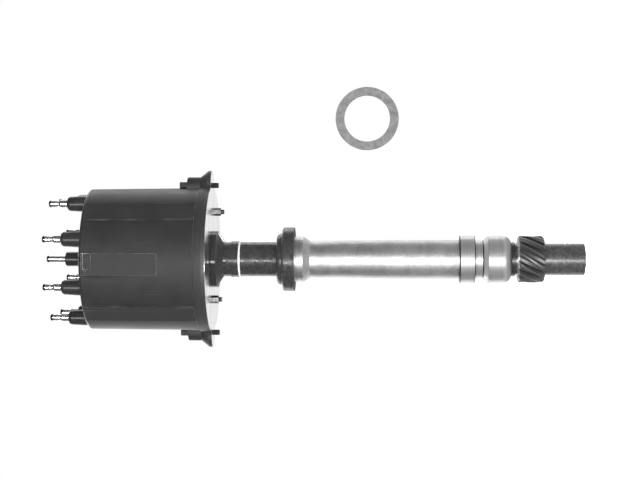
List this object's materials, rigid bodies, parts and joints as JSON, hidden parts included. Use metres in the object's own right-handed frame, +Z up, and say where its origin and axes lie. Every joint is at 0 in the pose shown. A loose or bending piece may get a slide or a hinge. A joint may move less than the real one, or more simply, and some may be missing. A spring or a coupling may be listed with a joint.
{
  "type": "ignition distributor",
  "caption": "Ignition distributor with a tall black cap and ringed plug posts, a machined stem with a clamp collar, and a helical drive gear at the foot of its shaft.",
  "frame": {"origin": "centre of the underside of the clamp collar, on the shaft axis, where the housing seats on the engine", "axes": "+Z runs up the shaft towards the cap and its posts, -Z down the stem to the gear, and the two cap screws lie along X"},
  "size_m": [0.1835, 0.1016, 0.3769],
  "materials": {
    "cast_housing": "black paint above the collar's seat, bare machined casting below it",
    "black_cap": "satin moulded",
    "plated_plate": "bright zinc",
    "terminal_metal": "bright turned",
    "screw_steel": "zinc",
    "shaft_steel": "ground",
    "gear_iron": "machined and oiled",
    "washer_steel": "ground",
    "bush_bronze": "sintered",
    "felt": "oiled felt",
    "pole_iron": "stamped",
    "ferrite": "pressed ferrite",
    "winding": "varnished winding on a bobbin",
    "lead_sheath": "matt sheath",
    "module_plastic": "matt moulded",
    "rotor_plastic": "satin moulded",
    "contact_brass": "stamped",
    "carbon": "pressed carbon",
    "gasket_paper": "pressed fibre sheet"
  },
  "bodies": {
    "housing_body": {"housing": "cast_housing", "upper_bushing": "bush_bronze", "lower_bushing": "bush_bronze", "oil_felt": "felt", "felt_cap": "washer_steel", "base_plate": "plated_plate", "base_plate_screws": "screw_steel", "pickup_plate": "pole_iron", "pickup_screws": "screw_steel", "pickup_nuts": "screw_steel", "pickup_clip": "washer_steel", "pickup_magnet": "ferrite", "pickup_coil": "winding", "pole_piece": "pole_iron", "pickup_leads": "lead_sheath", "ignition_module": "module_plastic", "module_screws": "screw_steel", "module_socket": "module_plastic", "socket_pins": "contact_brass", "mounting_gasket": "gasket_paper"},
    "cap_body": {"distributor_cap": "black_cap", "plug_terminals": "terminal_metal", "coil_terminal": "terminal_metal", "cap_screws": "screw_steel", "brush_spring": "screw_steel"},
    "button_body": {"carbon_button": "carbon"},
    "shaft_body": {"main_shaft": "shaft_steel", "timer_core": "pole_iron", "rotor_plate": "pole_iron", "rotor": "rotor_plastic", "rotor_blade": "contact_brass", "rotor_contact": "contact_brass", "rotor_screws": "screw_steel", "distributor_gear": "gear_iron", "roll_pin": "shaft_steel", "thrust_washer": "washer_steel", "shim_washers": "washer_steel"}
  },
  "joints": [
    {"name": "shaft_spin", "type": "hinge", "parent": "housing_body", "child": "shaft_body", "pos_m": [0, 0, 0], "axis": [0, 0, 1], "continuous": true},
    {"name": "cap_lift", "type": "slide", "parent": "housing_body", "child": "cap_body", "axis": [0, 0, 1], "range_m": [0, 0.09]},
    {"name": "button_slide", "type": "slide", "parent": "cap_body", "child": "button_body", "axis": [0, 0, 1], "range_m": [0, 0.0015], "stiffness_N_per_m": 400, "springref_m": -0.002, "deforming": ["brush_spring"]}
  ]
}
